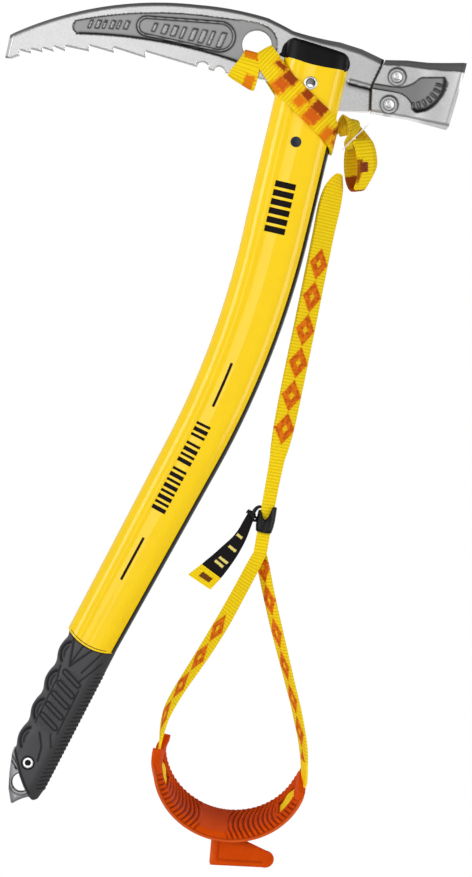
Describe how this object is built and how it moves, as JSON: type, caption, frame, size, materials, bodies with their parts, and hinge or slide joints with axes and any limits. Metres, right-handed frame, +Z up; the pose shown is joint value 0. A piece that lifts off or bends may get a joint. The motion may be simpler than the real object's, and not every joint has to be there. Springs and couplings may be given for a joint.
{
  "type": "ice axe",
  "caption": "Technical ice axe with a toothed pick, bolted hammer, bent tube shaft, rubber grip, spike and a webbing wrist leash with a slider and a ribbed cuff.",
  "frame": {"origin": "the point on the head's top edge above the shaft, where the axe is held up", "axes": "+X from the pick towards the hammer, +Y through the head's thickness away from the side with the screw heads, +Z up; the leash hangs plumb and the spike points down"},
  "size_m": [0.2656, 0.0492, 0.4968],
  "materials": {
    "steel": "forged and tumbled, satin",
    "hammer_steel": "forged and tumbled, satin",
    "fastener": "plated",
    "dark_pin": "blackened",
    "shaft_yellow": "anodised yellow, satin",
    "black_plastic": "moulded, satin",
    "black_rubber": "matte",
    "grip_rubber": "moulded, matte",
    "spike_steel": "forged, satin",
    "webbing": "woven, with a plain red pattern",
    "thread": "bar tack",
    "label": "plain",
    "black_webbing": "woven",
    "orange_rubber": "moulded, matte"
  },
  "bodies": {
    "axe": {"head_pick": "steel", "hammer_head": "hammer_steel", "hammer_bolts": "fastener", "hammer_nuts": "fastener", "shaft_tube": "shaft_yellow", "cap_front": "black_plastic", "cap_back": "black_plastic", "head_rivet": "fastener", "head_pin": "dark_pin", "rear_strip": "black_rubber", "grip_sleeve": "grip_rubber", "spike": "spike_steel", "spike_plug": "black_plastic", "grip_rivet": "fastener", "leash_hitch": "webbing", "leash_eye": "webbing", "eye_stitches": "thread", "leash_label": "label"},
    "leash": {"leash_strap": "webbing", "wrist_loop": "webbing", "wrist_cuff": "orange_rubber", "cuff_tab": "orange_rubber"},
    "slider": {"slider_body": "black_plastic"},
    "tab": {"slider_tab": "black_webbing", "tab_end": "webbing"}
  },
  "joints": [
    {"name": "leash_swing", "type": "hinge", "parent": "axe", "child": "leash", "pos_m": [0.031, 0, -0.078], "axis": [1, 0, 0], "range_deg": [-30, 30]},
    {"name": "slider_slide", "type": "slide", "parent": "leash", "child": "slider", "axis": [0.0299, 0, 0.9996], "range_m": [-0.01, 0.026]},
    {"name": "tab_swing", "type": "hinge", "parent": "slider", "child": "tab", "pos_m": [0.01344, 0, -0.28053], "axis": [0.8771, 0, -0.4804], "range_deg": [-70, 70]}
  ]
}
